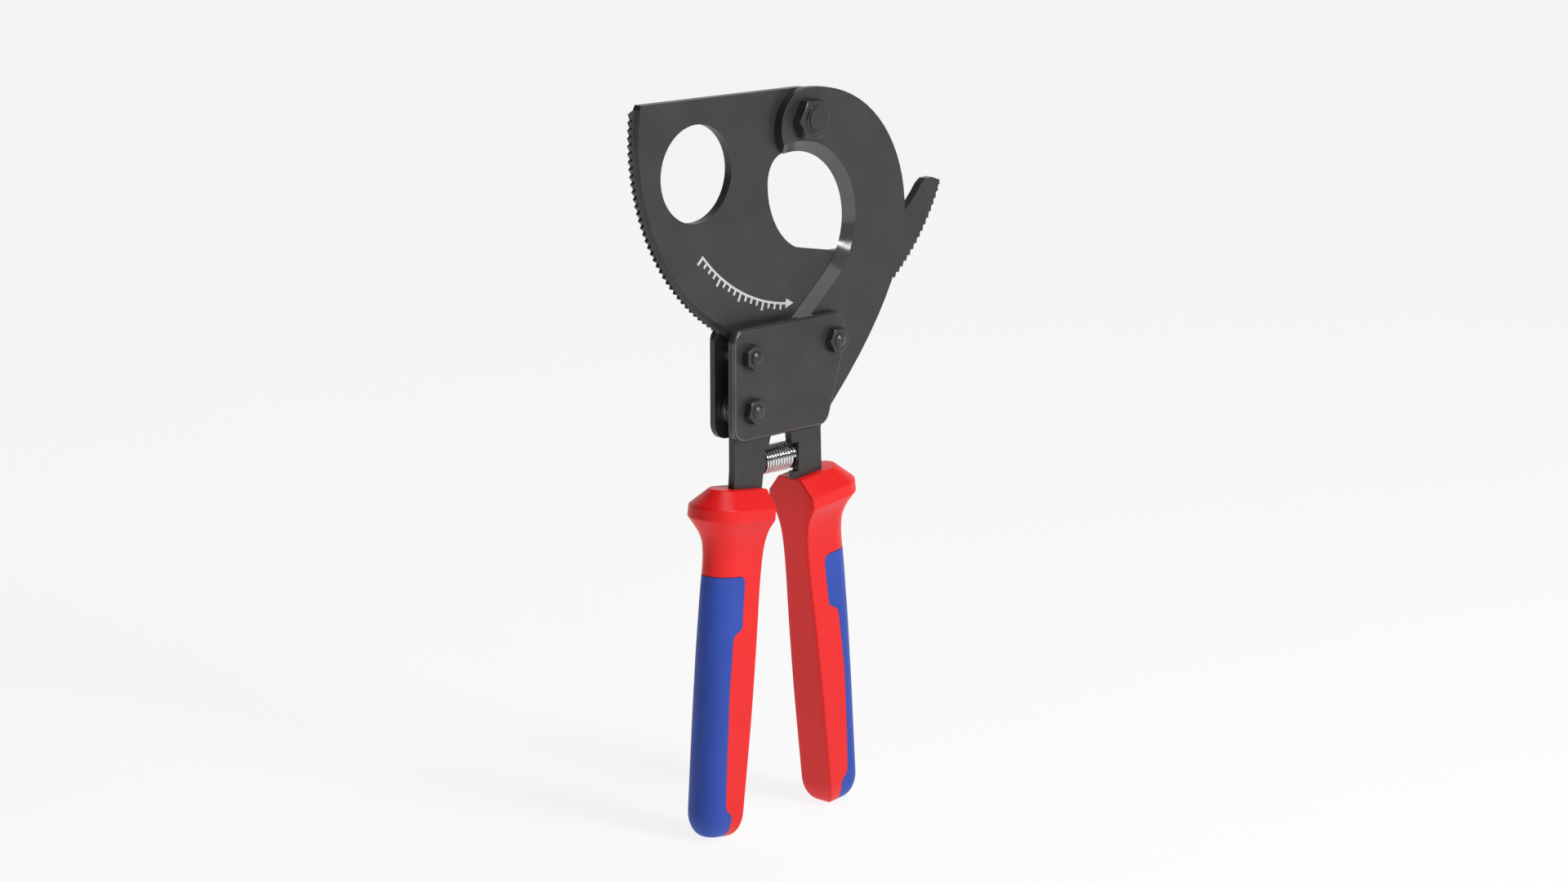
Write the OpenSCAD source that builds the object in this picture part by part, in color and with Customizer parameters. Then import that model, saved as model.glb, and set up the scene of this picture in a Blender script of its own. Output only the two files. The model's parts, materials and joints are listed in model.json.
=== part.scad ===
// Two-handed ratchet cable cutter.
// X is to the right, Y away from the front face, Z up. Outlines are drawn in X and Z about the
// main pivot, seen from the front, and the whole tool stands on its handle ends.

/* [Blades] */
// Radius of the moving blade over its tooth tips
blade_r = 100; // [99:0.5:100.5]
// Height of one ratchet tooth
tooth_depth = 1.3; // [0.8:0.1:1.6]
// Thickness of the moving blade
moving_t = 4; // [3.4:0.2:4]
// Thickness of the fixed blade
fixed_t = 3.7; // [3.1:0.1:3.8]
// Radius of the hanging hole in the moving blade
hang_r = 20.9; // [16:0.1:22]
// Radius of the jaw at the fixed blade's cutting edge
jaw_r = 31.2; // [28:0.2:32]
// Width of the ground bevel behind the cutting edge
bevel_w = 4.8; // [2:0.2:6]

/* [Fasteners] */
// Diameter of the main pivot bolt
pivot_d = 10; // [8:0.5:10]
// Width across the flats of the pivot nut
pivot_nut_w = 16.2; // [15:0.2:18]
// Diameter of the cover bolts
cover_bolt_d = 6; // [5:0.5:6]
// Width across the flats of the cover nuts
cover_nut_w = 10; // [9:0.5:11]

/* [Covers] */
// Thickness of each cover plate
cover_t = 3.6; // [2.5:0.1:4]
// Width of the bevel round each cover
cover_bevel = 0.8; // [0.4:0.1:1]

/* [Grips] */
// Length of each grip along its own axis
grip_len = 153.5; // [149:0.5:160]
// Outward tilt of each grip in degrees
grip_tilt = 6.9; // [6:0.1:7.5]
// Thickness of the soft panel let into each grip
panel_t = 2.5; // [1.5:0.1:3]

/* [Return spring] */
// Outer diameter of the coil
spring_d = 12.5; // [11.5:0.1:12.6]
// Diameter of the wire
wire_d = 1.2; // [0.8:0.1:1.4]
// Number of turns
spring_turns = 10.5; // [8:0.5:12]

/* [Ratchet] */
// Angle between the pawl's lifted and engaged positions
pawl_lift = 2.5; // [2:0.1:2.6]

/* [Hidden] */
$fn = 96;

// Layers from front to back
gap = 0.2;
fixed_back = -0.1;
fixed_front = fixed_back - fixed_t;
moving_front = fixed_back + gap;
moving_back = moving_front + moving_t;
cover_back = moving_back + gap;
rear_back = cover_back + cover_t;
front_front = fixed_front - cover_t;
lever_front = fixed_front + 0.1;
lever_back = fixed_back - 0.1;
pawl_front = 1.7;

// Ratchet teeth, as angles counter-clockwise from +X
tooth_count = 88;
tooth_pitch = 1.875;
first_tooth = 173.5;
steep_part = 0.28;
root_r = blade_r - tooth_depth;
last_tooth = first_tooth + (tooth_count - 1) * tooth_pitch;
band_r = blade_r - 3.1;

// Main centres, in X and Z about the pivot
jaw_c = [-6, -45.2];
jaw_tangent = -50;
hang_c = [-63.6, -17.2];
fulcrum = [-37.5, -121.3];
clamp_c = [-38.6, -97.7];
stud_c = [13.1, -97.5];
stop_c = [-31.6, -107.6];
drive_pin_c = [-27.6, -130.6];
spacer_holes = [[10.5, -112.5], [1.5, -125]];
eye_c = [0, -3];
eye_r = 16.3;
hub_r = 13.1;
bush_r = 7;
sleeve_r = 5;
clamp_r = 4.2;
run_gap = 0.05;

// Grips: half the gap between them, and the height of their top faces
grip_mid = -17.94;
grip_half_gap = 10.47;
grip_top = -157.15;
grip_flat = 0.642;
end_inner = 4;
tongue_in = 3.5;
tongue_w = 11;
tongue_len = 78;

// Return spring along X, between its two seats
spring_y = 2.6;
spring_z = -147.2;
spring_left = -25.5;
spring_right = -6.5;
seat_t = 0.8;
seat_r = 6.1;
spigot_r = 4.2;
spigot_len = 4;

// Pivot position in the tool's own frame
grip_drop = grip_len * cos(grip_tilt) - end_inner * sin(grip_tilt);
pivot_x = (blade_r - blade_r * cos(last_tooth)) / 2;
pivot_z = grip_drop - grip_top;

// ---- Geometry helpers ----

function polar(r, a) = [r * cos(a), r * sin(a)];

// Point p turned by a degrees about centre c
function turned(p, c, a) = c + [
  cos(a) * (p.x - c.x) - sin(a) * (p.y - c.y),
  sin(a) * (p.x - c.x) + cos(a) * (p.y - c.y)];

// Points along a cubic curve from p[0] to p[3]
function curve(p, n) = [for (i = [0:n])
  let (t = i / n, s = 1 - t)
  p[0] * s * s * s + 3 * p[1] * s * s * t + 3 * p[2] * s * t * t + p[3] * t * t * t];

// Closed outline whose corners [x, z, radius] are rounded
function rounded(c) = [for (i = [0:len(c) - 1])
  let (
    here = [c[i][0], c[i][1]],
    prev = c[(i + len(c) - 1) % len(c)],
    next = c[(i + 1) % len(c)],
    u = unit([prev[0], prev[1]] - here),
    v = unit([next[0], next[1]] - here),
    half = acos(u * v) / 2,
    r = c[i][2],
    mid = here + unit(u + v) * r / sin(half),
    from = here + u * r / tan(half) - mid,
    to = here + v * r / tan(half) - mid,
    a0 = atan2(from.y, from.x),
    sweep = (atan2(to.y, to.x) - a0 + 540) % 360 - 180)
  each r == 0 ? [here] : [for (k = [0:6]) mid + polar(r, a0 + sweep * k / 6)]];

function unit(v) = v / norm(v);

// Moves children drawn about the pivot to the tool's frame
module at_pivot() {
  translate([pivot_x, 0, pivot_z]) children();
}

// Flat plate between depths y0 and y1, cut from an outline in X and Z
module plate(y0, y1) {
  at_pivot() translate([0, y1, 0]) rotate([90, 0, 0]) linear_extrude(y1 - y0) children();
}

// Cylinder or cone along Y about the point c
module round_y(c, y0, y1, r0, r1) {
  at_pivot() translate([c.x, y1, c.y]) rotate([90, 0, 0]) cylinder(h = y1 - y0, r1 = r1, r2 = r0);
}

module rod_y(c, y0, y1, r) {
  round_y(c, y0, y1, r, r);
}

// Hexagon from a cone-cornered prism. Its chamfered side faces front or back.
module hexagon_y(c, y0, y1, flats, turn, faces_front) {
  corner = flats / 2 / cos(30);
  slope = (y1 - y0) + corner - flats / 2;
  intersection() {
    at_pivot() translate([c.x, y1, c.y]) rotate([90, 0, 0]) rotate([0, 0, turn])
      cylinder(h = y1 - y0, r = corner, $fn = 6);
    if (faces_front) {
      round_y(c, y0, y1, flats / 2 - 0.3, flats / 2 - 0.3 + slope * 1.8);
    } else {
      round_y(c, y0, y1, flats / 2 - 0.3 + slope * 1.8, flats / 2 - 0.3);
    }
  }
}

// ---- Blades ----

tail_inner = curve([[20.5, -60.4], [40, -62], [63, -56], [77, -37.7]], 14);

moving_outline = concat(
  [[-95.4, 14.9], polar(band_r + 0.3, 172.4)],
  [for (k = [0:tooth_count - 1])
    let (a = first_tooth + k * tooth_pitch)
    each [polar(root_r, a - steep_part * tooth_pitch), polar(blade_r, a)]],
  [polar(root_r - 1.2, last_tooth + 0.7), [84.4, -35.6], [80, -35.7]],
  [for (i = [len(tail_inner) - 1:-1:0]) tail_inner[i]],
  [for (i = [11:-1:1]) curve([[-20.8, -27], [-20.8, -43], [-9.5, -55], [-0.6, -56.5]], 11)[i]],
  [for (i = [8:-1:1]) curve([[-8.2, -13.6], [-17.4, -13.6], [-20.8, -20], [-20.8, -27]], 8)[i]],
  [[-8.2, -13.6]],
  [for (a = [-90:7.5:90]) polar(hub_r, a)]);

module moving_blade() {
  color("dimgray") difference() {
    intersection() {
      plate(moving_front, moving_back) polygon(moving_outline);
      union() {
        round_y([0, 0], moving_front, moving_front + moving_t / 2, band_r, root_r - 0.35);
        rod_y([0, 0], moving_front + moving_t / 2, moving_back, blade_r + 2);
      }
    }
    rod_y(hang_c, moving_front - 1, moving_back + 1, hang_r);
    rod_y([0, 0], moving_front - 1, moving_back + 1, bush_r + run_gap);
    marking(moving_front - 1, moving_front + mark_depth);
  }
}

// Travel scale with an arrow towards closing, filled flush into the blade's face
mark_depth = 0.3;
mark_r = 79.6;
mark_from = -139;
mark_to = -97;
mark_steps = 16;

module marking(y0, y1) {
  plate(y0, y1) {
    polygon(concat(
      [for (i = [0:mark_steps]) polar(mark_r, mark_from + (mark_to - mark_from) * i / mark_steps)],
      [polar(mark_r - 1.6, mark_to), polar(mark_r + 0.5, mark_to + 3.5), polar(mark_r + 2.6, mark_to)],
      [for (i = [mark_steps:-1:0])
        polar(mark_r + 1, mark_from + (mark_to - mark_from) * i / mark_steps)]));
    for (i = [0:mark_steps - 1]) {
      a = mark_from + 0.5 + (mark_to - mark_from) * i / mark_steps;
      long = i % 4 == 0 ? 4.6 : 3.2;
      polygon([polar(mark_r + 0.9, a - 0.42), polar(mark_r + long, a - 0.42),
        polar(mark_r + long, a + 0.42), polar(mark_r + 0.9, a + 0.42)]);
    }
  }
}

module blade_marking() {
  color("white") marking(moving_front, moving_front + mark_depth);
}

fixed_outline = concat(
  curve([[0, 13.3], [37, 13.3], [62, -14], [62, -48]], 18),
  curve([[62, -48], [62, -62], [54.4, -88], [15.9, -126.1]], 12),
  [[9.5, -133], [8.2, -136], [grip_mid + grip_half_gap + 16.3, grip_top + 16.3 * sin(grip_tilt)],
    [grip_mid + grip_half_gap, grip_top], [-10.5, -136], [-14, -125], [-14, -94], [-5, -60], [-5, -12]]);

// Everything inside the jaw, with the bevel's slope from the front face to the cutting edge
module jaw_cut() {
  past = 1;
  rise = bevel_w / fixed_t * past;
  low = fixed_front - past;
  high = fixed_back + past;
  round_y(jaw_c, low, high, jaw_r + bevel_w + rise, jaw_r - rise);
  at_pivot() translate([jaw_c.x, 0, jaw_c.y]) rotate([0, -jaw_tangent, 0])
    translate([0, 0, -40]) linear_extrude(40)
      polygon([[-20, low], [jaw_r + bevel_w + rise, low], [jaw_r - rise, high], [-20, high]]);
}

module fixed_blade() {
  color("dimgray") difference() {
    union() {
      plate(fixed_front, fixed_back) polygon(fixed_outline);
      rod_y(eye_c, fixed_front, fixed_back, eye_r);
      tongue(fixed_front, fixed_back, 0);
    }
    jaw_cut();
    rod_y([0, 0], fixed_front - 1, fixed_back + 1, pivot_d / 2 + run_gap);
    rod_y(stud_c, fixed_front - 1, fixed_back + 1, cover_bolt_d / 2 + run_gap);
    for (c = spacer_holes) {
      rod_y(c, fixed_front + 0.4, fixed_back + 1, 2 + run_gap);
    }
    plate(fixed_front - 1, fixed_back + 1)
      translate([-20, spring_z - seat_r - 0.4]) square([20 + spring_right + seat_t, 2 * seat_r + 0.8]);
  }
}

// Narrow end of a tang inside the right-hand grip, grown by extra on its edges
module tongue(y0, y1, extra) {
  right_grip_frame()
    translate([tongue_in - extra, y0 - extra, -tongue_len - extra])
      cube([tongue_w + 2 * extra, y1 - y0 + 2 * extra, tongue_len + 2 * extra]);
}

// ---- Main pivot ----

module pivot_bolt() {
  color("dimgray") {
    rod_y([0, 0], fixed_front - 6.2, rear_back - 1.9, pivot_d / 2);
    hexagon_y([0, 0], rear_back - 2, rear_back + 4, pivot_nut_w, 0, false);
  }
}

module pivot_bush() {
  color("goldenrod") difference() {
    rod_y([0, 0], fixed_back, cover_back, bush_r);
    rod_y([0, 0], fixed_back - 1, cover_back + 1, pivot_d / 2 + run_gap);
  }
}

module pivot_washer() {
  color("gray") difference() {
    rod_y([0, 0], cover_back, rear_back - 2, 11);
    rod_y([0, 0], cover_back - 1, rear_back, pivot_d / 2 + run_gap);
  }
}

// Locking nut: a hexagon with a round raised collar
module pivot_nut() {
  color("dimgray") difference() {
    union() {
      hexagon_y([0, 0], fixed_front - 4.8, fixed_front, pivot_nut_w, 0, true);
      round_y([0, 0], fixed_front - 5.8, fixed_front - 4, 5.9, 6.6);
    }
    rod_y([0, 0], fixed_front - 8, fixed_front + 1, pivot_d / 2 + run_gap);
  }
}

// ---- Covers and their fasteners ----

function cover_corners(inset) = [
  [-49 + inset, -85.3 - inset, 6 - inset], [15.5 - inset, -85.3 - inset, 3],
  [20.4 - inset, -91.5, 4], [17.8 - inset, -107, 20], [9.2 - inset, -134.4 + inset, 6 - inset],
  [-49 + inset, -134.4 + inset, 7 - inset]];

// Cover plate with its bevel towards the outside
module cover(inner, outer) {
  lip = outer + (inner > outer ? cover_bevel : -cover_bevel);
  hull() {
    plate(min(inner, lip), max(inner, lip)) polygon(rounded(cover_corners(0)));
    plate(min(outer, lip), max(outer, lip)) polygon(rounded(cover_corners(cover_bevel)));
  }
}

module front_cover() {
  color("dimgray") difference() {
    cover(fixed_front, front_front);
    for (c = [clamp_c, fulcrum, stud_c]) {
      rod_y(c, front_front - 1, fixed_front + 1, cover_bolt_d / 2 + run_gap);
    }
  }
}

module back_cover() {
  color("dimgray") difference() {
    cover(cover_back, rear_back);
    for (c = [clamp_c, fulcrum]) {
      rod_y(c, cover_back - 1, rear_back + 1, cover_bolt_d / 2 + run_gap);
    }
    for (c = spacer_holes) {
      rod_y(c, cover_back - 1, rear_back + 1, 2 + run_gap);
    }
  }
}

// Round bolt end with a low dome, standing out of a nut
module bolt_end(c) {
  r = cover_bolt_d / 2 - 0.2;
  round_y(c, front_front - 4.6, front_front - 3.9, r * 0.55, r);
}

module cover_bolts() {
  color("dimgray") for (c = [clamp_c, fulcrum]) {
    rod_y(c, front_front - 3.9, rear_back + 0.1, cover_bolt_d / 2);
    bolt_end(c);
    hexagon_y(c, rear_back, rear_back + 4, cover_nut_w, 30, false);
  }
}

module cover_stud() {
  color("dimgray") {
    rod_y(stud_c, front_front - 3.9, fixed_back, cover_bolt_d / 2);
    bolt_end(stud_c);
  }
}

module cover_nuts() {
  color("dimgray") difference() {
    union() {
      hexagon_y(clamp_c, front_front - 3.4, front_front, cover_nut_w, 30, true);
      hexagon_y(fulcrum, front_front - 3.4, front_front, cover_nut_w, 15, true);
      hexagon_y(stud_c, front_front - 3.4, front_front, cover_nut_w, 0, true);
    }
    for (c = [clamp_c, fulcrum, stud_c]) {
      rod_y(c, front_front - 8, front_front + 1, cover_bolt_d / 2 + run_gap);
    }
  }
}

// Tube between the covers round one bolt
module sleeve(c, r) {
  difference() {
    rod_y(c, fixed_front, cover_back, r);
    rod_y(c, fixed_front - 1, cover_back + 1, cover_bolt_d / 2 + run_gap);
  }
}

module clamp_sleeve() {
  color("silver") sleeve(clamp_c, clamp_r);
}

module fulcrum_sleeve() {
  color("silver") sleeve(fulcrum, sleeve_r);
}

module stop_pin() {
  color("silver") rod_y(stop_c, fixed_front, cover_back, 1.9);
}

module tang_spacer() {
  color("gray") difference() {
    plate(fixed_back, cover_back)
      polygon(rounded([[13.6, -105.8, 1.5], [15.4, -108.4, 1.5], [12, -121, 2], [8.6, -130.6, 2],
        [-6.2, -130.6, 2], [-4.6, -122, 2], [5.4, -111.6, 2]]));
    for (c = spacer_holes) {
      rod_y(c, fixed_back - 1, cover_back + 1, 2 + run_gap);
    }
  }
}

module spacer_screws() {
  color("silver") for (c = spacer_holes) {
    rod_y(c, fixed_front + 0.6, rear_back + 0.1, 2);
    difference() {
      round_y(c, rear_back, rear_back + 2.2, 3.6, 3.2);
      rod_hex(c, rear_back + 0.9, rear_back + 3, 2.5);
    }
  }
}

// Hexagon socket
module rod_hex(c, y0, y1, flats) {
  at_pivot() translate([c.x, y1, c.y]) rotate([90, 0, 0])
    cylinder(h = y1 - y0, r = flats / 2 / cos(30), $fn = 6);
}

// ---- Ratchet ----

// Pawls are drawn engaged: a nose between two teeth, and a strut back to the pawl's eye
pawl_bite = 0.6;
hold_gap = 49;
hold_tip = first_tooth + (hold_gap + 0.6) * tooth_pitch;
drive_tip = hold_tip + 5.15;

// Pawl between depths y0 and y1 with its nose tip at radius r and angle a about the pivot
module pawl(pin, eye, bore, r, a) {
  heel = polar(r + 3.6, a - 1.1);
  side = unit([pin.y - heel.y, heel.x - pin.x]);
  difference() {
    union() {
      rod_y(pin, pawl_front, moving_back, eye);
      plate(pawl_front, moving_back) {
        polygon([pin + side * eye * 0.8, heel + side * 2.1, heel - side * 2.1, pin - side * eye * 0.8]);
        polygon([polar(r, a - 0.07), polar(r, a + 0.07), polar(r + 1.4, a + 0.6), polar(r + 4.4, a + 0.5),
          polar(r + 5.4, a - 1.6), polar(r + 2.6, a - 2.4)]);
      }
    }
    rod_y(pin, pawl_front - 1, moving_back + 1, bore);
  }
}

// Torsion spring round pin, wound from one angle to the other, with a straight leg at each end
module torsion_spring(pin, coil_r, wire_r, from, to, leg_in, leg_out) {
  steps = 28;
  first = moving_front + wire_r + 0.05;
  coil = [for (i = [0:steps])
    let (a = from + (to - from) * i / steps)
    [pin.x + coil_r * cos(a), first + 2.1 * wire_r * (a - from) / 360, pin.y + coil_r * sin(a)]];
  start = coil[0] - leg_in * [-sin(from), 0, cos(from)];
  end = coil[steps] + leg_out * [-sin(to), 0, cos(to)];
  at_pivot() wire(concat([start], coil, [end]), wire_r, [0, 1, 0]);
}

module holding_pawl() {
  engaged = polar(blade_r - pawl_bite, hold_tip);
  lifted = turned(engaged, fulcrum, -pawl_lift);
  color("silver") pawl(fulcrum, 8, sleeve_r + run_gap, norm(lifted), atan2(lifted.y, lifted.x));
}

module holding_pawl_spring() {
  color("silver") torsion_spring(fulcrum, 5.8, 0.3, 145, 655, 17, 13);
}

module drive_pawl() {
  color("silver") pawl(drive_pin_c, 3.6, 2 + run_gap, blade_r + 0.35, drive_tip);
}

module drive_pawl_pin() {
  color("silver") rod_y(drive_pin_c, lever_front, moving_back + 0.1, 2);
}

module drive_pawl_spring() {
  color("silver") torsion_spring(drive_pin_c, 2.9, 0.28, 270, 670, 8, 12);
}

// ---- Lever ----

lever_outline = rounded([[-45.1, -134, 3], [-45.1, -147, 8],
  [grip_mid - grip_half_gap - 17.2, grip_top + 17.2 * sin(grip_tilt), 0],
  [grip_mid - grip_half_gap, grip_top, 0], [-27.5, -150.6, 2], [-24, -138.9, 2], [-22.6, -134, 3],
  [-22.8, -127.6, 3], [-29, -119, 0], [-45.5, -118, 3]]);

module lever_tang() {
  color("dimgray") difference() {
    union() {
      rod_y(fulcrum, lever_front, lever_back, 9);
      plate(lever_front, lever_back) {
        polygon(lever_outline);
        polygon(rounded([[-43, -118, 0], [-41, -106, 2], [-34, -106, 1], [-34, -118, 0]]));
      }
      left_tongue(lever_front, lever_back, 0);
    }
    rod_y(fulcrum, lever_front - 1, lever_back + 1, sleeve_r + run_gap);
    rod_y(drive_pin_c, lever_front - 1, lever_back + 1, 2);
    plate(lever_front - 1, lever_back + 1)
      translate([spring_left - seat_t, spring_z - seat_r - 0.4]) square([10, 2 * seat_r + 0.8]);
  }
}

module left_tongue(y0, y1, extra) {
  mirrored() tongue(y0, y1, extra);
}

// Mirrors children across the plane midway between the grips
module mirrored() {
  translate([2 * (pivot_x + grip_mid), 0, 0]) mirror([1, 0, 0]) children();
}

// ---- Return spring ----

module return_spring() {
  steps = 12 * spring_turns;
  low = spring_left + 0.05 + wire_d / 2;
  run = spring_right - spring_left - 0.1 - wire_d;
  mid_r = (spring_d - wire_d) / 2;
  path = [for (i = [0:steps])
    [low + run * i / steps, mid_r * cos(30 * i), mid_r * sin(30 * i)]];
  color("silver") at_pivot() translate([0, spring_y, spring_z]) wire(path, wire_d / 2, [1, 0, 0]);
}

// Round wire along a path that coils about the given axis
module wire(path, r, axis) {
  last = len(path) - 1;
  loft([for (i = [0:last])
    let (along = path[min(i + 1, last)] - path[max(i - 1, 0)], side = unit(cross(along, axis)))
    [for (b = [0:60:300]) path[i] + r * cos(b) * side + r * sin(b) * axis]]);
}

// Solid through closed rings of equal length, first ring facing away from the last
module loft(rings) {
  n = len(rings[0]);
  last = len(rings) - 1;
  polyhedron(
    points = [for (r = rings) each r],
    faces = concat(
      [[for (i = [n - 1:-1:0]) i]],
      [for (j = [0:last - 1]) for (i = [0:n - 1])
        [j * n + i, j * n + (i + 1) % n, (j + 1) * n + (i + 1) % n, (j + 1) * n + i]],
      [[for (i = [0:n - 1]) last * n + i]]),
    convexity = 10);
}

// Turned seat: a flange from x0 to x1 and a spigot on inside the coil to x2
module spring_seat(x0, x1, x2) {
  at_pivot() translate([0, spring_y, spring_z]) {
    rotate([0, 90, 0]) translate([0, 0, min(x0, x1)]) cylinder(h = abs(x1 - x0), r = seat_r);
    rotate([0, 90, 0]) translate([0, 0, min(x0, x2)]) cylinder(h = abs(x2 - x0), r = spigot_r);
  }
}

module left_spring_seat() {
  color("dimgray") spring_seat(spring_left - seat_t, spring_left, spring_left + spigot_len);
}

module right_spring_seat() {
  color("dimgray") spring_seat(spring_right + seat_t, spring_right, spring_right - spigot_len);
}

// ---- Grips ----

// Sections down the right-hand grip: distance from the top, half width, depth, inner offset
grip_sections = [
  [0, 7, 26.4, 0], [3.5, 11.4, 30, 0], [7.5, 13.4, 34.4, 0], [12.5, 13.5, 34.6, 0],
  [17, 10.6, 31.2, 0], [21, 8.9, 28.2, 0], [26, 7.9, 26.8, 0], [33, 7.5, 26.4, 0],
  [45, 7.6, 26.6, 0], [70, 8.6, 25.3, 0], [100, 9.2, 23.5, 0], [grip_len - 10.5, 8.9, 21.2, 0],
  [grip_len - 5, 7.9, 19.8, 0.6], [grip_len - 2, 6.1, 17.8, 1.7], [grip_len, 2.9, 13.8, end_inner]];

// One section: flat inner face, short flat sides and a half-elliptical outside
function grip_ring(s, inset) =
  let (inner = s[3] + inset, w = s[1] - inset, depth = s[2] - inset, flat = depth * grip_flat,
    n = 12)
  concat([[inner, w, -s[0]], [inner, -w, -s[0]]],
    [for (i = [0:n]) let (a = -90 + 180 * i / n)
      [flat + (depth - flat) * cos(a), w * sin(a), -s[0]]]);

module right_grip_frame() {
  at_pivot() translate([grip_mid + grip_half_gap, 0, grip_top]) rotate([0, -grip_tilt, 0]) children();
}

module grip_solid() {
  loft([for (s = grip_sections) grip_ring(s, 0)]);
}

module grip_core(inset) {
  loft([for (s = [for (k = grip_sections) if (k[0] > 30 && k[0] < grip_len) k]) grip_ring(s, inset)]);
}

// Outline of the soft panel from the side, in distance out and down from the grip's top
module panel_prism() {
  reach = 40;
  bottom = grip_len + 5;
  translate([0, 20, 0]) rotate([90, 0, 0]) linear_extrude(40)
    polygon(rounded([[reach, -37.5, 0], [9.6, -37.5, 3], [9.6, -60.5, 2], [14.6, -63.5, 3],
      [15, -90, 30], [11.4, -139.5, 3], [7, -143, 2], [6.6, -bottom, 0], [reach, -bottom, 0]]));
}

module grip_panel() {
  difference() {
    intersection() {
      grip_solid();
      panel_prism();
    }
    grip_core(panel_t);
  }
}

module grip_body() {
  difference() {
    grip_solid();
    difference() {
      panel_prism();
      grip_core(panel_t + run_gap);
    }
  }
}

module right_grip_body() {
  color("red") difference() {
    right_grip_frame() grip_body();
    tongue(fixed_front, fixed_back, 0.05);
  }
}

module right_grip_panel() {
  color("royalblue") right_grip_frame() grip_panel();
}

module left_grip_body() {
  color("red") difference() {
    mirrored() right_grip_frame() grip_body();
    left_tongue(lever_front, lever_back, 0.05);
  }
}

module left_grip_panel() {
  color("royalblue") mirrored() right_grip_frame() grip_panel();
}

fixed_blade();
moving_blade();
blade_marking();
pivot_bolt();
pivot_bush();
pivot_washer();
pivot_nut();
front_cover();
back_cover();
cover_bolts();
cover_stud();
cover_nuts();
clamp_sleeve();
fulcrum_sleeve();
stop_pin();
tang_spacer();
spacer_screws();
holding_pawl();
holding_pawl_spring();
lever_tang();
drive_pawl();
drive_pawl_pin();
drive_pawl_spring();
return_spring();
left_spring_seat();
right_spring_seat();
left_grip_body();
left_grip_panel();
right_grip_body();
right_grip_panel();
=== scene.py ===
"""Looks for the ratchet cable cutter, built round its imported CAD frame. Lengths are in metres."""

import json
import math

import bmesh
import bpy
import numpy as np
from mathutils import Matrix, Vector

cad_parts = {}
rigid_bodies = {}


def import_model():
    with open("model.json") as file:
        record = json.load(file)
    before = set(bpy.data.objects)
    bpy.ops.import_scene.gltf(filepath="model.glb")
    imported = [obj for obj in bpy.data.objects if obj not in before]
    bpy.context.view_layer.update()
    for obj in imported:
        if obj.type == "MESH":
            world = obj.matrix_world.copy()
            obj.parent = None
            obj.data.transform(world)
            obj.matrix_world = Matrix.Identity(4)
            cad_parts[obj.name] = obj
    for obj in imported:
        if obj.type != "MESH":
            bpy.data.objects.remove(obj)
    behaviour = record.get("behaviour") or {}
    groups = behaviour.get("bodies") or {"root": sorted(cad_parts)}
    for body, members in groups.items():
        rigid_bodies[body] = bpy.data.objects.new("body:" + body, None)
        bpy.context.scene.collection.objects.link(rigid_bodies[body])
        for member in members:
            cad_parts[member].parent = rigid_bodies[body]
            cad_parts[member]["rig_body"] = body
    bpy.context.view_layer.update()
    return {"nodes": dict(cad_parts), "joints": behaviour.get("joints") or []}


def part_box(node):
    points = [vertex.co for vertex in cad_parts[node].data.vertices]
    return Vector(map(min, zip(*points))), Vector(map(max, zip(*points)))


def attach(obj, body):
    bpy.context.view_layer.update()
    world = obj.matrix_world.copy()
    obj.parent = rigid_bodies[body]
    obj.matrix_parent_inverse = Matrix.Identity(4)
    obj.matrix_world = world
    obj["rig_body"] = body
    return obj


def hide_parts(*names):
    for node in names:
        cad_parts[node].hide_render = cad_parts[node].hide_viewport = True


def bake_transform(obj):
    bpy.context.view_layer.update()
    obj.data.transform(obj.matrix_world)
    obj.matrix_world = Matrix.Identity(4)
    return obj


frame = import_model()

MM = 0.001
NODES = frame["nodes"]
JOINTS = {joint["name"]: joint for joint in frame["joints"]}
PIVOT = Vector(JOINTS["blade_swing"]["pos_m"])

# The photograph's view
VIEW_YAW = math.radians(46.18)
VIEW_PITCH = math.radians(-12.91)
CAMERA_FROM_PIVOT = Vector((-1257.3, -1196.1, 255.9)) * MM
CAMERA_LENS = 93.94
CAMERA_SENSOR = 36.0


# ---- Camera, floor and light ----

def make_camera():
    """Long lens from the front left, slightly above, at the photograph's angle."""
    look = Vector((math.sin(VIEW_YAW) * math.cos(VIEW_PITCH),
                   math.cos(VIEW_YAW) * math.cos(VIEW_PITCH),
                   math.sin(VIEW_PITCH)))
    data = bpy.data.cameras.new("camera")
    data.lens = CAMERA_LENS
    data.sensor_width = CAMERA_SENSOR
    data.clip_end = 100.0
    camera = bpy.data.objects.new("camera", data)
    bpy.context.scene.collection.objects.link(camera)
    camera.location = PIVOT + CAMERA_FROM_PIVOT
    camera.rotation_euler = look.to_track_quat("-Z", "Y").to_euler()
    bpy.context.scene.camera = camera


def area_light(name, place, target, size, power):
    """Round soft lamp that faces its target."""
    data = bpy.data.lights.new(name, "AREA")
    data.shape = "DISK"
    data.size = size
    data.energy = power
    lamp = bpy.data.objects.new(name, data)
    bpy.context.scene.collection.objects.link(lamp)
    lamp.location = place
    lamp.rotation_euler = (Vector(target) - Vector(place)).to_track_quat("-Z", "Y").to_euler()


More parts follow.
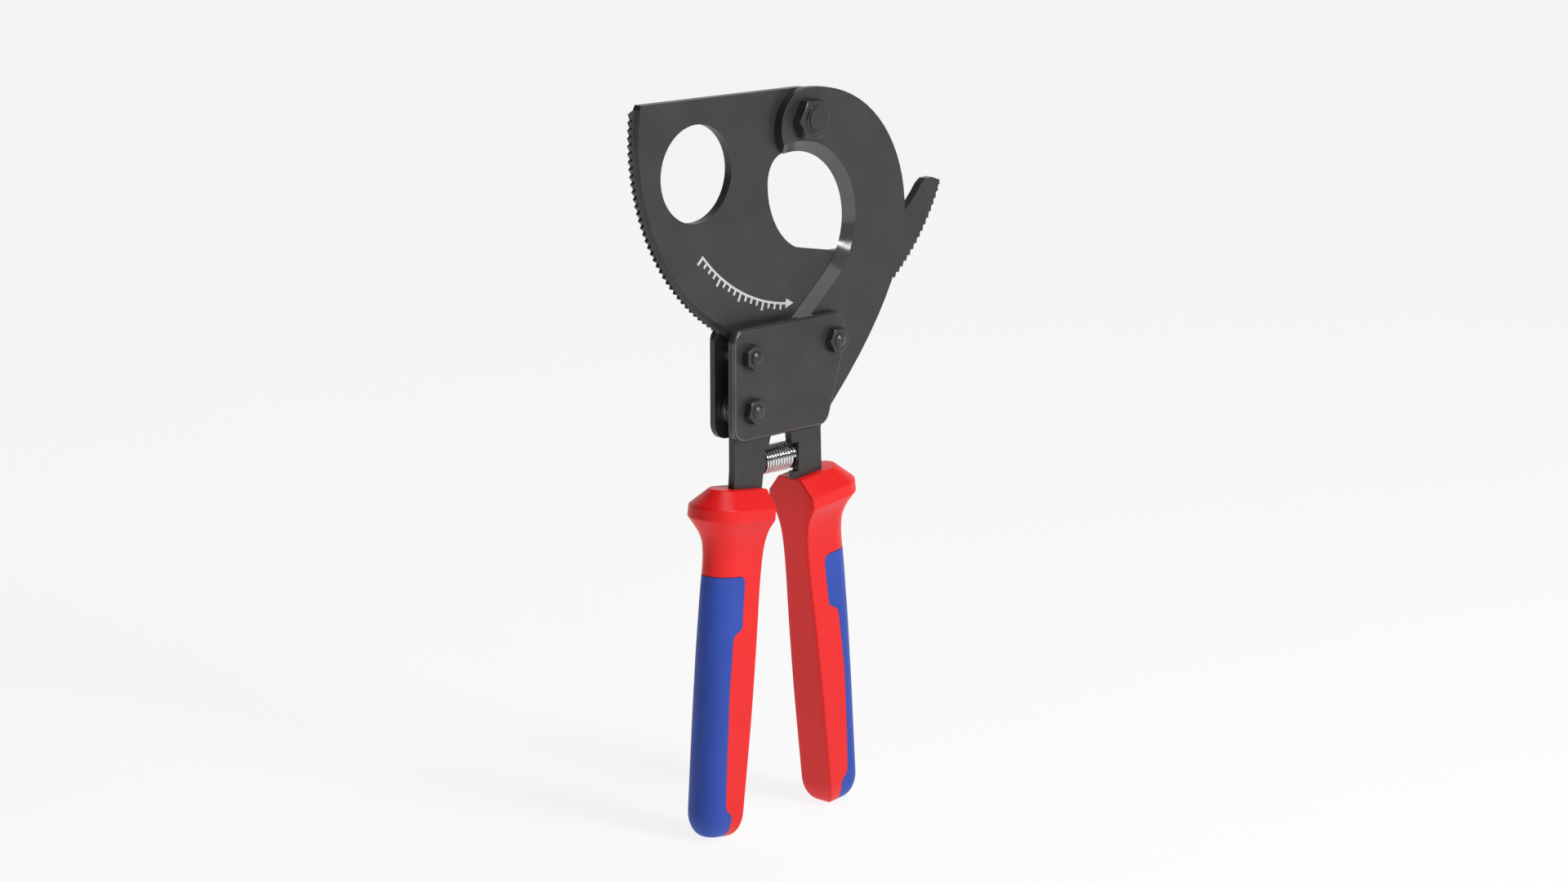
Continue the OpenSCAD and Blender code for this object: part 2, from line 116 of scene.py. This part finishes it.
def make_light():
    """Key and top lamps for the whole tool, and two dim lamps that the jaw's ground bevel mirrors."""
    middle = (0.0, 0.0, 0.16)
    area_light("key", (0.24, -1.5, 0.95), middle, size=0.5, power=16.0)
    area_light("top", (0.16, -0.56, 1.65), middle, size=0.6, power=8.5)
    distance = 1.7
    bend_mirror = Vector((-0.389, -0.873, 0.263))
    straight_mirror = Vector((0.001, -0.757, 0.653))
    area_light("glint", PIVOT + bend_mirror * distance, PIVOT, size=0.12, power=1.3)
    area_light("rake", PIVOT + straight_mirror * distance, PIVOT, size=0.7, power=1.0)


def make_sky():
    """Dim sky that lights the tool, and looks as pale as the floor where the floor ends."""
    world = bpy.data.worlds.new("studio")
    world.use_nodes = True
    nodes = world.node_tree.nodes
    link = world.node_tree.links.new
    dim = nodes["Background"]
    pale = nodes.new("ShaderNodeBackground")
    for background, strength in ((dim, 0.05), (pale, 0.9)):
        background.inputs["Color"].default_value = (1.0, 1.0, 1.0, 1.0)
        background.inputs["Strength"].default_value = strength
    seen = nodes.new("ShaderNodeLightPath")
    mix = nodes.new("ShaderNodeMixShader")
    link(seen.outputs["Is Camera Ray"], mix.inputs["Fac"])
    link(dim.outputs["Background"], mix.inputs[1])
    link(pale.outputs["Background"], mix.inputs[2])
    link(mix.outputs["Shader"], nodes["World Output"].inputs["Surface"])
    bpy.context.scene.world = world
    bpy.context.scene.view_settings.view_transform = "Standard"


def make_floor():
    """Pale floor that curves up into a pale wall well behind the tool."""
    half, bend, back, height = 6.0, 1.5, 4.5, 5.0
    away = Vector((math.sin(VIEW_YAW), math.cos(VIEW_YAW), 0.0))
    side = Vector((away.y, -away.x, 0.0))
    outline = [(-half, 0.0), (back - bend, 0.0)]
    outline += [(back - bend + bend * math.sin(a), bend - bend * math.cos(a))
                for a in np.linspace(0.1, math.pi / 2, 12)]
    outline.append((back, height))
    verts = [away * d + side * s + Vector((0, 0, z)) for d, z in outline for s in (-half, half)]
    faces = [(2 * i, 2 * i + 1, 2 * i + 3, 2 * i + 2) for i in range(len(outline) - 1)]
    floor = mesh_object("floor", verts, faces)
    floor.data.materials.append(floor_material())


# ---- Materials ----

class Nodes:
    """Small helper that adds shader nodes to one material."""

    def __init__(self, name):
        self.material = bpy.data.materials.new(name)
        self.material.use_nodes = True
        self.tree = self.material.node_tree
        self.shader = self.tree.nodes["Principled BSDF"]
        self.place = self.add("ShaderNodeTexCoord").outputs["Object"]

    def add(self, kind, **values):
        node = self.tree.nodes.new(kind)
        for key, value in values.items():
            node.inputs[key].default_value = value
        return node

    def link(self, source, target):
        self.tree.links.new(source, target)

    def noise(self, scale, detail=4.0, stretch=None):
        node = self.add("ShaderNodeTexNoise", Scale=scale, Detail=detail)
        place = self.place
        if stretch:
            mapping = self.add("ShaderNodeMapping", Scale=stretch)
            self.link(place, mapping.inputs["Vector"])
            place = mapping.outputs["Vector"]
        self.link(place, node.inputs["Vector"])
        return node.outputs["Fac"]

    def paint(self, source, low, high, start=0.3, end=0.7):
        """Base colour that goes from one tone to the other as the source goes from start to end."""
        node = self.add("ShaderNodeValToRGB")
        first, last = node.color_ramp.elements
        first.position, first.color = start, (*low, 1.0)
        last.position, last.color = end, (*high, 1.0)
        self.link(source, node.inputs["Fac"])
        self.link(node.outputs["Color"], self.shader.inputs["Base Color"])

    def rough(self, source, low, high):
        node = self.add("ShaderNodeMapRange")
        node.inputs["To Min"].default_value = low
        node.inputs["To Max"].default_value = high
        self.link(source, node.inputs["Value"])
        self.link(node.outputs["Result"], self.shader.inputs["Roughness"])

    def bump(self, source, strength, distance=0.1 * MM):
        node = self.add("ShaderNodeBump", Strength=strength, Distance=distance)
        self.link(source, node.inputs["Height"])
        self.link(node.outputs["Normal"], self.shader.inputs["Normal"])

    def fixed(self, **values):
        for key, value in values.items():
            self.shader.inputs[key.replace("_", " ")].default_value = value


def shade(colour, factor):
    return tuple(c * factor for c in colour)


def grey(value):
    return (value, value, value)


def floor_material():
    n = Nodes("pale_floor")
    n.paint(n.noise(0.8), grey(0.14), grey(0.16))
    n.fixed(Roughness=1.0, Specular_IOR_Level=0.0, Emission_Strength=0.85)
    n.fixed(Emission_Color=(*grey(1.0), 1.0))
    return n.material


def metal_material(name, colour, low, high, metallic, grain=900.0, bump=0.08, stretch=None, spread=0.14):
    """Finished steel: cloudy tone, fine grain in the roughness and the surface."""
    n = Nodes(name)
    n.paint(n.noise(60.0, 6.0), shade(colour, 1 - spread), shade(colour, 1 + spread))
    fine = n.noise(grain, 3.0, stretch)
    n.rough(fine, low, high)
    n.bump(fine, bump)
    n.fixed(Metallic=metallic, Specular_IOR_Level=0.5)
    return n.material


def red_material():
    """Hard moulded plastic with a faint skin."""
    n = Nodes("grip_red")
    n.paint(n.noise(35.0, 3.0), (0.80, 0.007, 0.007), (0.86, 0.010, 0.010))
    n.rough(n.noise(400.0), 0.36, 0.46)
    n.bump(n.noise(2200.0, 2.0), 0.12)
    n.fixed(Specular_IOR_Level=0.36)
    return n.material


def blue_material():
    """Soft moulded rubber, duller and more grainy."""
    n = Nodes("grip_blue")
    n.paint(n.noise(50.0, 4.0), (0.017, 0.060, 0.38), (0.022, 0.072, 0.43))
    n.rough(n.noise(600.0), 0.52, 0.64)
    n.bump(n.noise(3200.0, 2.0), 0.25, 0.12 * MM)
    n.fixed(Specular_IOR_Level=0.4, Sheen_Weight=0.08, Sheen_Roughness=0.4)
    return n.material


def white_material():
    """White marking ink, worn thin in places."""
    n = Nodes("marking_white")
    worn = n.noise(1400.0, 5.0)
    n.paint(worn, grey(0.30), grey(0.58), start=0.28, end=0.42)
    n.rough(worn, 0.45, 0.6)
    n.bump(worn, 0.1)
    return n.material


def make_materials():
    dark = (0.028, 0.026, 0.0265)
    bolt = shade(dark, 0.9)
    # Edge colour, lighter than the steel: partly real wear on the broken edges, partly painted highlight
    # that stands in for lit edge lines.
    worn = (0.115, 0.113, 0.113)
    ground = (0.092, 0.092, 0.094)
    return {
        "black": metal_material("black_steel", dark, 0.32, 0.48, 0.0,
                                grain=600.0, stretch=(5.0, 1.0, 1.0), spread=0.2),
        # Broken-edge finish: real wear plus painted highlight.
        "black_edge_wear_and_highlight": metal_material("worn_and_highlit_steel_edge", worn, 0.2, 0.34, 0.7, grain=300.0, spread=0.4),
        "fastener": metal_material("black_fastener", bolt, 0.30, 0.40, 0.0, bump=0.12),
        "ground": metal_material("ground_bevel", ground, 0.09, 0.15, 0.35,
                                 grain=500.0, bump=0.10, stretch=(1.0, 6.0, 1.0)),
        "steel": metal_material("bright_steel", (0.5, 0.5, 0.51), 0.24, 0.36, 1.0),
        "wire": metal_material("spring_wire", (0.42, 0.42, 0.44), 0.22, 0.3, 1.0),
        "chrome": metal_material("plated_wire", (0.74, 0.74, 0.75), 0.05, 0.11, 1.0, bump=0.03, spread=0.03),
        "bronze": metal_material("bush_bronze", (0.55, 0.36, 0.16), 0.3, 0.42, 1.0),
        "red": red_material(),
        "blue": blue_material(),
        "white": white_material(),
    }


# ---- Mesh helpers ----

def mesh_object(name, verts, faces):
    mesh = bpy.data.meshes.new(name)
    mesh.from_pydata([tuple(v) for v in verts], [], faces)
    mesh.validate()
    obj = bpy.data.objects.new(name, mesh)
    bpy.context.scene.collection.objects.link(obj)
    return obj


def outward(mesh):
    """Turns every face's normal outward."""
    bm = bmesh.new()
    bm.from_mesh(mesh)
    bmesh.ops.recalc_face_normals(bm, faces=bm.faces)
    bm.to_mesh(mesh)
    bm.free()


def smooth(obj, degrees):
    """Smooth shading, except over edges sharper than the angle."""
    obj.data.polygons.foreach_set("use_smooth", [True] * len(obj.data.polygons))
    obj.data.set_sharp_from_angle(angle=math.radians(degrees))


def soften(node, name, width, face_material, edge_material):
    """A CAD node's shape with its sharp edges broken, which stands for the node."""
    source = NODES[node].data
    obj = mesh_object(name, [v.co for v in source.vertices], [tuple(p.vertices) for p in source.polygons])
    bm = bmesh.new()
    bm.from_mesh(obj.data)
    bmesh.ops.remove_doubles(bm, verts=bm.verts, dist=0.002 * MM)
    bmesh.ops.dissolve_limit(bm, angle_limit=math.radians(0.6), verts=bm.verts, edges=bm.edges)
    bmesh.ops.recalc_face_normals(bm, faces=bm.faces)
    sharp = [e for e in bm.edges if len(e.link_faces) == 2 and e.calc_face_angle(0) > math.radians(28)]
    bmesh.ops.bevel(bm, geom=sharp, offset=width, offset_type="OFFSET", segments=2,
                    profile=0.6, affect="EDGES", clamp_overlap=True, material=1)
    bm.to_mesh(obj.data)
    bm.free()
    obj.data.materials.append(face_material)
    obj.data.materials.append(edge_material)
    smooth(obj, 34)
    modifier = obj.modifiers.new("weighted_normals", "WEIGHTED_NORMAL")
    modifier.keep_sharp = True
    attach(obj, NODES[node]["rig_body"])
    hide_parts(node)
    return obj


def tube(name, path, radius, sides, axis):
    """Round wire along a coiled path, closed at both ends."""
    path = np.asarray(path)
    along = np.gradient(path, axis=0)
    axis = np.asarray(axis, float)
    side = np.cross(along, axis)
    side /= np.linalg.norm(side, axis=1)[:, None]
    verts = []
    for i, point in enumerate(path):
        for k in range(sides):
            a = 2 * math.pi * k / sides
            verts.append(point + radius * (math.cos(a) * side[i] + math.sin(a) * axis))
    faces = []
    for i in range(len(path) - 1):
        for k in range(sides):
            j = (k + 1) % sides
            faces.append((i * sides + k, i * sides + j, (i + 1) * sides + j, (i + 1) * sides + k))
    faces.append(tuple(range(sides - 1, -1, -1)))
    faces.append(tuple((len(path) - 1) * sides + k for k in range(sides)))
    obj = mesh_object(name, verts, faces)
    outward(obj.data)
    smooth(obj, 50)
    return obj


# ---- Grips ----
# Each grip is a loft of sections. A section is half an outline, from the middle of the inner face
# round the front to the middle of the outer face, and the other half mirrors it. In a section, x is
# the distance outward and y the distance across, and u is the distance down from the grip's top.
# All of them are in millimetres.

# Where the grips hang: the mid plane between them, the inner top corner, and the tilt
GRIP_MID = PIVOT.x - 17.94 * MM
GRIP_CORNER = Vector((10.47 * MM, 0, PIVOT.z - 157.15 * MM))
GRIP_TILT = math.radians(6.9)
GRIP_OUT = Vector((math.cos(GRIP_TILT), 0, math.sin(GRIP_TILT)))
GRIP_DOWN = Vector((math.sin(GRIP_TILT), 0, -math.cos(GRIP_TILT)))

# Down the grip: u, half width, depth
PROFILE = np.array([
    [0, 7.0, 26.6], [7.4, 13.4, 34.6], [12.6, 13.5, 34.7], [17, 10.5, 31.2], [21, 8.9, 28.2],
    [26, 7.9, 26.8], [33, 7.5, 26.4], [45, 7.6, 26.5], [70, 8.6, 25.3], [100, 9.2, 23.5],
    [130, 9.1, 21.8], [154, 8.9, 20.6]])
# How far the profile is averaged on each side: u, reach. A small reach keeps the collar crisp.
BLEND = np.array([[0, 0.5], [8, 0.5], [11, 0.25], [13, 0.25], [20, 2.2], [36, 7.0]])
# Inner edge of the soft panel: u, x
PANEL_EDGE = np.array([
    [0, 12.0], [37.6, 12.0], [38.4, 10.6], [40.2, 9.7], [42, 9.6], [59.5, 9.6], [61, 10.2], [62.5, 13.0],
    [64, 14.4], [66.5, 14.8], [90, 14.9], [116, 13.3], [138.5, 11.5], [141, 10.2], [142.6, 7.8],
    [144.5, 7.1], [154, 6.8]])
PANEL_TOP = 37.5
PANEL_DEPTH = 1.6
PANEL_GAP = 0.15
PANEL_RIM_DROP = 0.12
PANEL_PROUD = 0.08

GRIP_LENGTH = 153.5
FLAT_SHARE = 0.64
CORNER = 0.55
TOP_EDGE = 0.45

# Rounded lower end: where it starts, and what it takes off the width, the depth and the inner face
END_START = 142.5
END_NARROWS = 0.7
END_SHORTENS = 7.2
END_INNER = 4

# Runs of ring levels down the grip, as start, stop and spacing, closer where it bends
LEVEL_RUNS = [
    (TOP_EDGE, 6.6, 1.0), (6.6, 13.8, 0.2), (13.8, 36, 0.7), (36, 46, 0.3), (46, 58, 1.2),
    (58, 68, 0.3), (68, 137, 1.5), (137, 146, 0.3), (146, 151, 0.5), (151, 153, 0.25)]
LAST_LEVELS = [153.15, 153.3, 153.4, 153.47, GRIP_LENGTH]

# Points along the dense half outline: inner face, corner, flat side, round back
FACE_POINTS = 16
CORNER_POINTS = 12
SIDE_POINTS = 40
BACK_POINTS = 90


def profile(u):
    """Half width, depth and inner offset of the grip at a distance u from its top."""
    reach = np.interp(u, BLEND[:, 0], BLEND[:, 1])
    window = np.clip(u + np.linspace(-reach, reach, 15), 0, None)
    width = np.interp(window, PROFILE[:, 0], PROFILE[:, 1]).mean()
    depth = np.interp(window, PROFILE[:, 0], PROFILE[:, 2]).mean()
    past = min(max((u - END_START) / (GRIP_LENGTH - END_START), 0), 1)
    drop = 1 - math.sqrt(max(1 - past * past, 0))
    return width * (1 - END_NARROWS * drop), depth - END_SHORTENS * drop, END_INNER * drop


def half_section(u, inset):
    """Dense half outline at u, moved in by the inset, with its normals and running length."""
    width, depth, inner = profile(u)
    corner = min(CORNER, width * 0.4)
    flat = inner + (depth - inner) * FLAT_SHARE
    turn = np.radians(np.linspace(0, 90, CORNER_POINTS))
    arc = np.radians(np.linspace(0, 90, BACK_POINTS))
    face_end = -(width - corner)
    face = np.column_stack([np.full(FACE_POINTS, inner), np.linspace(0, face_end, FACE_POINTS)])
    bend = np.column_stack([inner + corner * (1 - np.cos(turn)), face_end - corner * np.sin(turn)])
    side = np.column_stack([np.linspace(inner + corner, flat, SIDE_POINTS), np.full(SIDE_POINTS, -width)])
    back = np.column_stack([flat + (depth - flat) * np.sin(arc), -width * np.cos(arc)])
    points = np.vstack([face, bend[1:], side[1:], back[1:]])
    along = np.gradient(points, axis=0)
    along /= np.linalg.norm(along, axis=1)[:, None]
    normal = np.column_stack([along[:, 1], -along[:, 0]])
    normal[-1] = (1, 0)
    points = points - normal * inset
    length = np.concatenate([[0], np.cumsum(np.linalg.norm(np.diff(points, axis=0), axis=1))])
    return points, normal, length


def cut_section(u, inset=0.0):
    """Half outline at u with its points set from the panel's edge, first the red part, then the panel's.

    Returns the points, their normals, and how far each lies past the panel's edge.
    """
    points, normal, length = half_section(u, inset)
    face = length[FACE_POINTS - 1]
    bend = length[FACE_POINTS + CORNER_POINTS - 2]
    front = slice(FACE_POINTS + 4, None)
    edge_x = np.interp(u, PANEL_EDGE[:, 0], PANEL_EDGE[:, 1])
    edge = np.interp(edge_x, points[front, 0], length[front])
    rolled = edge + np.array([0.12, 0.3, 0.55, 0.9])
    rest = edge + 1.3
    places = np.concatenate([
        np.linspace(0, face, 5),
        np.linspace(face, bend, 5)[1:],
        bend + (edge - bend) * np.linspace(0, 1, 15)[1:-1],
        [edge],
        rolled,
        rest + (length[-1] - rest) * np.linspace(0, 1, 22)])
    spots = np.column_stack([np.interp(places, length, points[:, k]) for k in (0, 1)])
    ways = np.column_stack([np.interp(places, length, normal[:, k]) for k in (0, 1)])
    return spots, ways, places - edge


def step(x):
    """Smooth rise from 0 to 1."""
    x = np.clip(x, 0, 1)
    return x * x * (3 - 2 * x)


def place(points, u, mirror):
    """Points of a section at a distance u down the grip, in the tool's frame."""
    verts = []
    for x, y in points:
        point = GRIP_CORNER + GRIP_OUT * (x * MM) + GRIP_DOWN * (u * MM)
        verts.append(Vector((GRIP_MID + (-point.x if mirror else point.x), y * MM, point.z)))
    return verts


def full_ring(half):
    """Closed outline from half of it."""
    return np.vstack([half, half[-2:0:-1] * [1, -1]])


def full_strip(half):
    """Open outline from half of it."""
    return np.vstack([half, half[-2::-1] * [1, -1]])


def grip_levels():
    """Distances from the top at which the grip gets a ring."""
    runs = [np.arange(*run) for run in LEVEL_RUNS]
    return np.unique(np.round(np.concatenate(runs + [LAST_LEVELS]), 3))


def loft_faces(rows, size, closed):
    """Faces between neighbouring rows of points."""
    last = size if closed else size - 1
    return [(i * size + k, i * size + (k + 1) % size, (i + 1) * size + (k + 1) % size, (i + 1) * size + k)
            for i in range(rows - 1) for k in range(last)]


def make_grip_body(side, mirror, material):
    """The red moulding: rounded top edge, then rings that sink where the panel lies."""
    rings = []
    for angle in np.radians([0, 22.5, 45, 67.5]):
        u = TOP_EDGE * (1 - math.cos(angle))
        spots, _, _ = cut_section(u, TOP_EDGE * (1 - math.sin(angle)))
        rings.append(place(full_ring(spots), u, mirror))
    for u in grip_levels():
        spots, ways, past = cut_section(u)
        sink = PANEL_DEPTH * step(past / 0.2) * step((u - PANEL_TOP) / 0.2)
        rings.append(place(full_ring(spots - ways * sink[:, None]), u, mirror))
    size = len(rings[0])
    faces = loft_faces(len(rings), size, True)
    faces.append(tuple(range(size)))
    faces.append(tuple((len(rings) - 1) * size + k for k in range(size)))
    obj = mesh_object(side + "_grip_moulding", [v for ring in rings for v in ring], faces)
    outward(obj.data)
    obj.data.materials.append(material)
    smooth(obj, 40)
    return obj


def make_grip_panel(side, mirror, material):
    """The soft panel: its own closed shell, let into the recess, slightly proud and rolled at its edge."""
    outer, inner = [], []
    for u in [level for level in grip_levels() if level > PANEL_TOP + 0.05]:
        spots, ways, past = cut_section(u)
        on = past > -1e-9
        spots, ways, past = spots[on], ways[on], past[on]
        roll = step(past / 0.5 + 0.3) * step((u - PANEL_TOP) / 0.5 + 0.3)
        lift = (PANEL_RIM_DROP + PANEL_PROUD) * roll - PANEL_RIM_DROP
        outer.append(place(full_strip(spots + ways * lift[:, None]), u, mirror))
        inner.append(place(full_strip(spots - ways * (PANEL_DEPTH - PANEL_GAP)), u, mirror))
    rows, size = len(outer), len(outer[0])
    base, end = rows * size, (rows - 1) * size
    faces = loft_faces(rows, size, False)
    faces += [tuple(base + k for k in face[::-1]) for face in loft_faces(rows, size, False)]
    for i in range(rows - 1):
        for k in (0, size - 1):
            faces.append((i * size + k, (i + 1) * size + k, base + (i + 1) * size + k, base + i * size + k))
    for k in range(size - 1):
        faces.append((k, k + 1, base + k + 1, base + k))
    faces.append(tuple(end + k for k in range(size)))
    faces.append(tuple(base + end + k for k in range(size)))
    faces.append((end, end + size - 1, base + end + size - 1, base + end))
    obj = mesh_object(side + "_grip_soft_panel", [v for ring in outer + inner for v in ring], faces)
    outward(obj.data)
    obj.data.materials.append(material)
    smooth(obj, 40)
    return obj


def make_grips(looks):
    for side, body in (("left", "lever"), ("right", "frame")):
        moulding = make_grip_body(side, side == "left", looks["red"])
        panel = make_grip_panel(side, side == "left", looks["blue"])
        for piece, node, slot in ((moulding, "_grip_body", "red_plastic"),
                                  (panel, "_grip_panel", "blue_soft_grip")):
            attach(piece, body)
            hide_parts(side + node)


# ---- Steel parts ----

# Softened plates and fasteners: CAD node, piece name and width of the broken edge in millimetres
PLATES = [
    ("fixed_blade", "fixed_blade_forging", 0.35),
    ("moving_blade", "toothed_blade", 0.16),
    ("lever_tang", "lever_steel", 0.35),
    ("front_cover", "front_cover_plate", 0.3),
    ("back_cover", "back_cover_plate", 0.3),
    ("tang_spacer", "spacer_plate", 0.2)]
FASTENERS = [
    ("pivot_nut", "pivot_lock_nut", 0.3),
    ("pivot_bolt", "pivot_hex_bolt", 0.35),
    ("cover_nuts", "cover_hex_nuts", 0.2),
    ("cover_bolts", "cover_hex_bolts", 0.2),
    ("cover_stud", "cover_round_stud", 0.2),
    ("spacer_screws", "spacer_socket_screws", 0.15),
    ("left_spring_seat", "left_seat_turning", 0.2),
    ("right_spring_seat", "right_seat_turning", 0.2)]
PAWLS = [
    ("drive_pawl", "drive_pawl_steel", 0.15),
    ("holding_pawl", "holding_pawl_steel", 0.15)]

# Looks of the CAD nodes that show as they are
CAD_LOOKS = {
    "blade_marking": "white",
    "pivot_bush": "bronze",
    "pivot_washer": "steel",
    "clamp_sleeve": "steel",
    "fulcrum_sleeve": "steel",
    "stop_pin": "steel",
    "drive_pawl_pin": "steel",
    "holding_pawl_spring": "wire",
    "drive_pawl_spring": "wire"}


def ground_faces(obj, material):
    """Gives the slanting faces behind a cutting edge their own ground finish."""
    obj.data.materials.append(material)
    smallest = 2 * MM * MM
    for face in obj.data.polygons:
        if 0.3 < abs(face.normal.y) < 0.93 and face.area > smallest:
            face.material_index = 2


def make_steel(looks):
    # Broken edges take the lighter edge finish, which is wear plus painted highlight.
    edge = looks["black_edge_wear_and_highlight"]
    plates = [soften(node, name, width * MM, looks["black"], edge)
              for node, name, width in PLATES]
    ground_faces(plates[0], looks["ground"])
    for node, name, width in FASTENERS:
        soften(node, name, width * MM, looks["fastener"], edge)
    for node, name, width in PAWLS:
        soften(node, name, width * MM, looks["steel"], looks["steel"])


def make_return_spring(looks):
    """Bright coil between its seats."""
    low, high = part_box("return_spring")
    wire = 0.6 * MM
    radius = (high.z - low.z) / 2 - wire
    turns, per_turn = 10.5, 48
    middle = Vector((0, (low.y + high.y) / 2, (low.z + high.z) / 2))
    path = []
    for i in range(int(turns * per_turn) + 1):
        a = 2 * math.pi * i / per_turn
        x = low.x + wire + (high.x - low.x - 2 * wire) * i / (turns * per_turn)
        path.append((x, middle.y + radius * math.cos(a), middle.z + radius * math.sin(a)))
    coil = tube("return_coil", path, wire, 14, (1, 0, 0))
    coil.data.materials.append(looks["chrome"])
    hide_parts("return_spring")
    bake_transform(coil)


def dress_cad(looks):
    for node, look in CAD_LOOKS.items():
        mesh = NODES[node].data
        mesh.materials.clear()
        mesh.materials.append(looks[look])


make_camera()
make_light()
make_sky()
make_floor()
LOOKS = make_materials()
make_grips(LOOKS)
make_steel(LOOKS)
make_return_spring(LOOKS)
dress_cad(LOOKS)
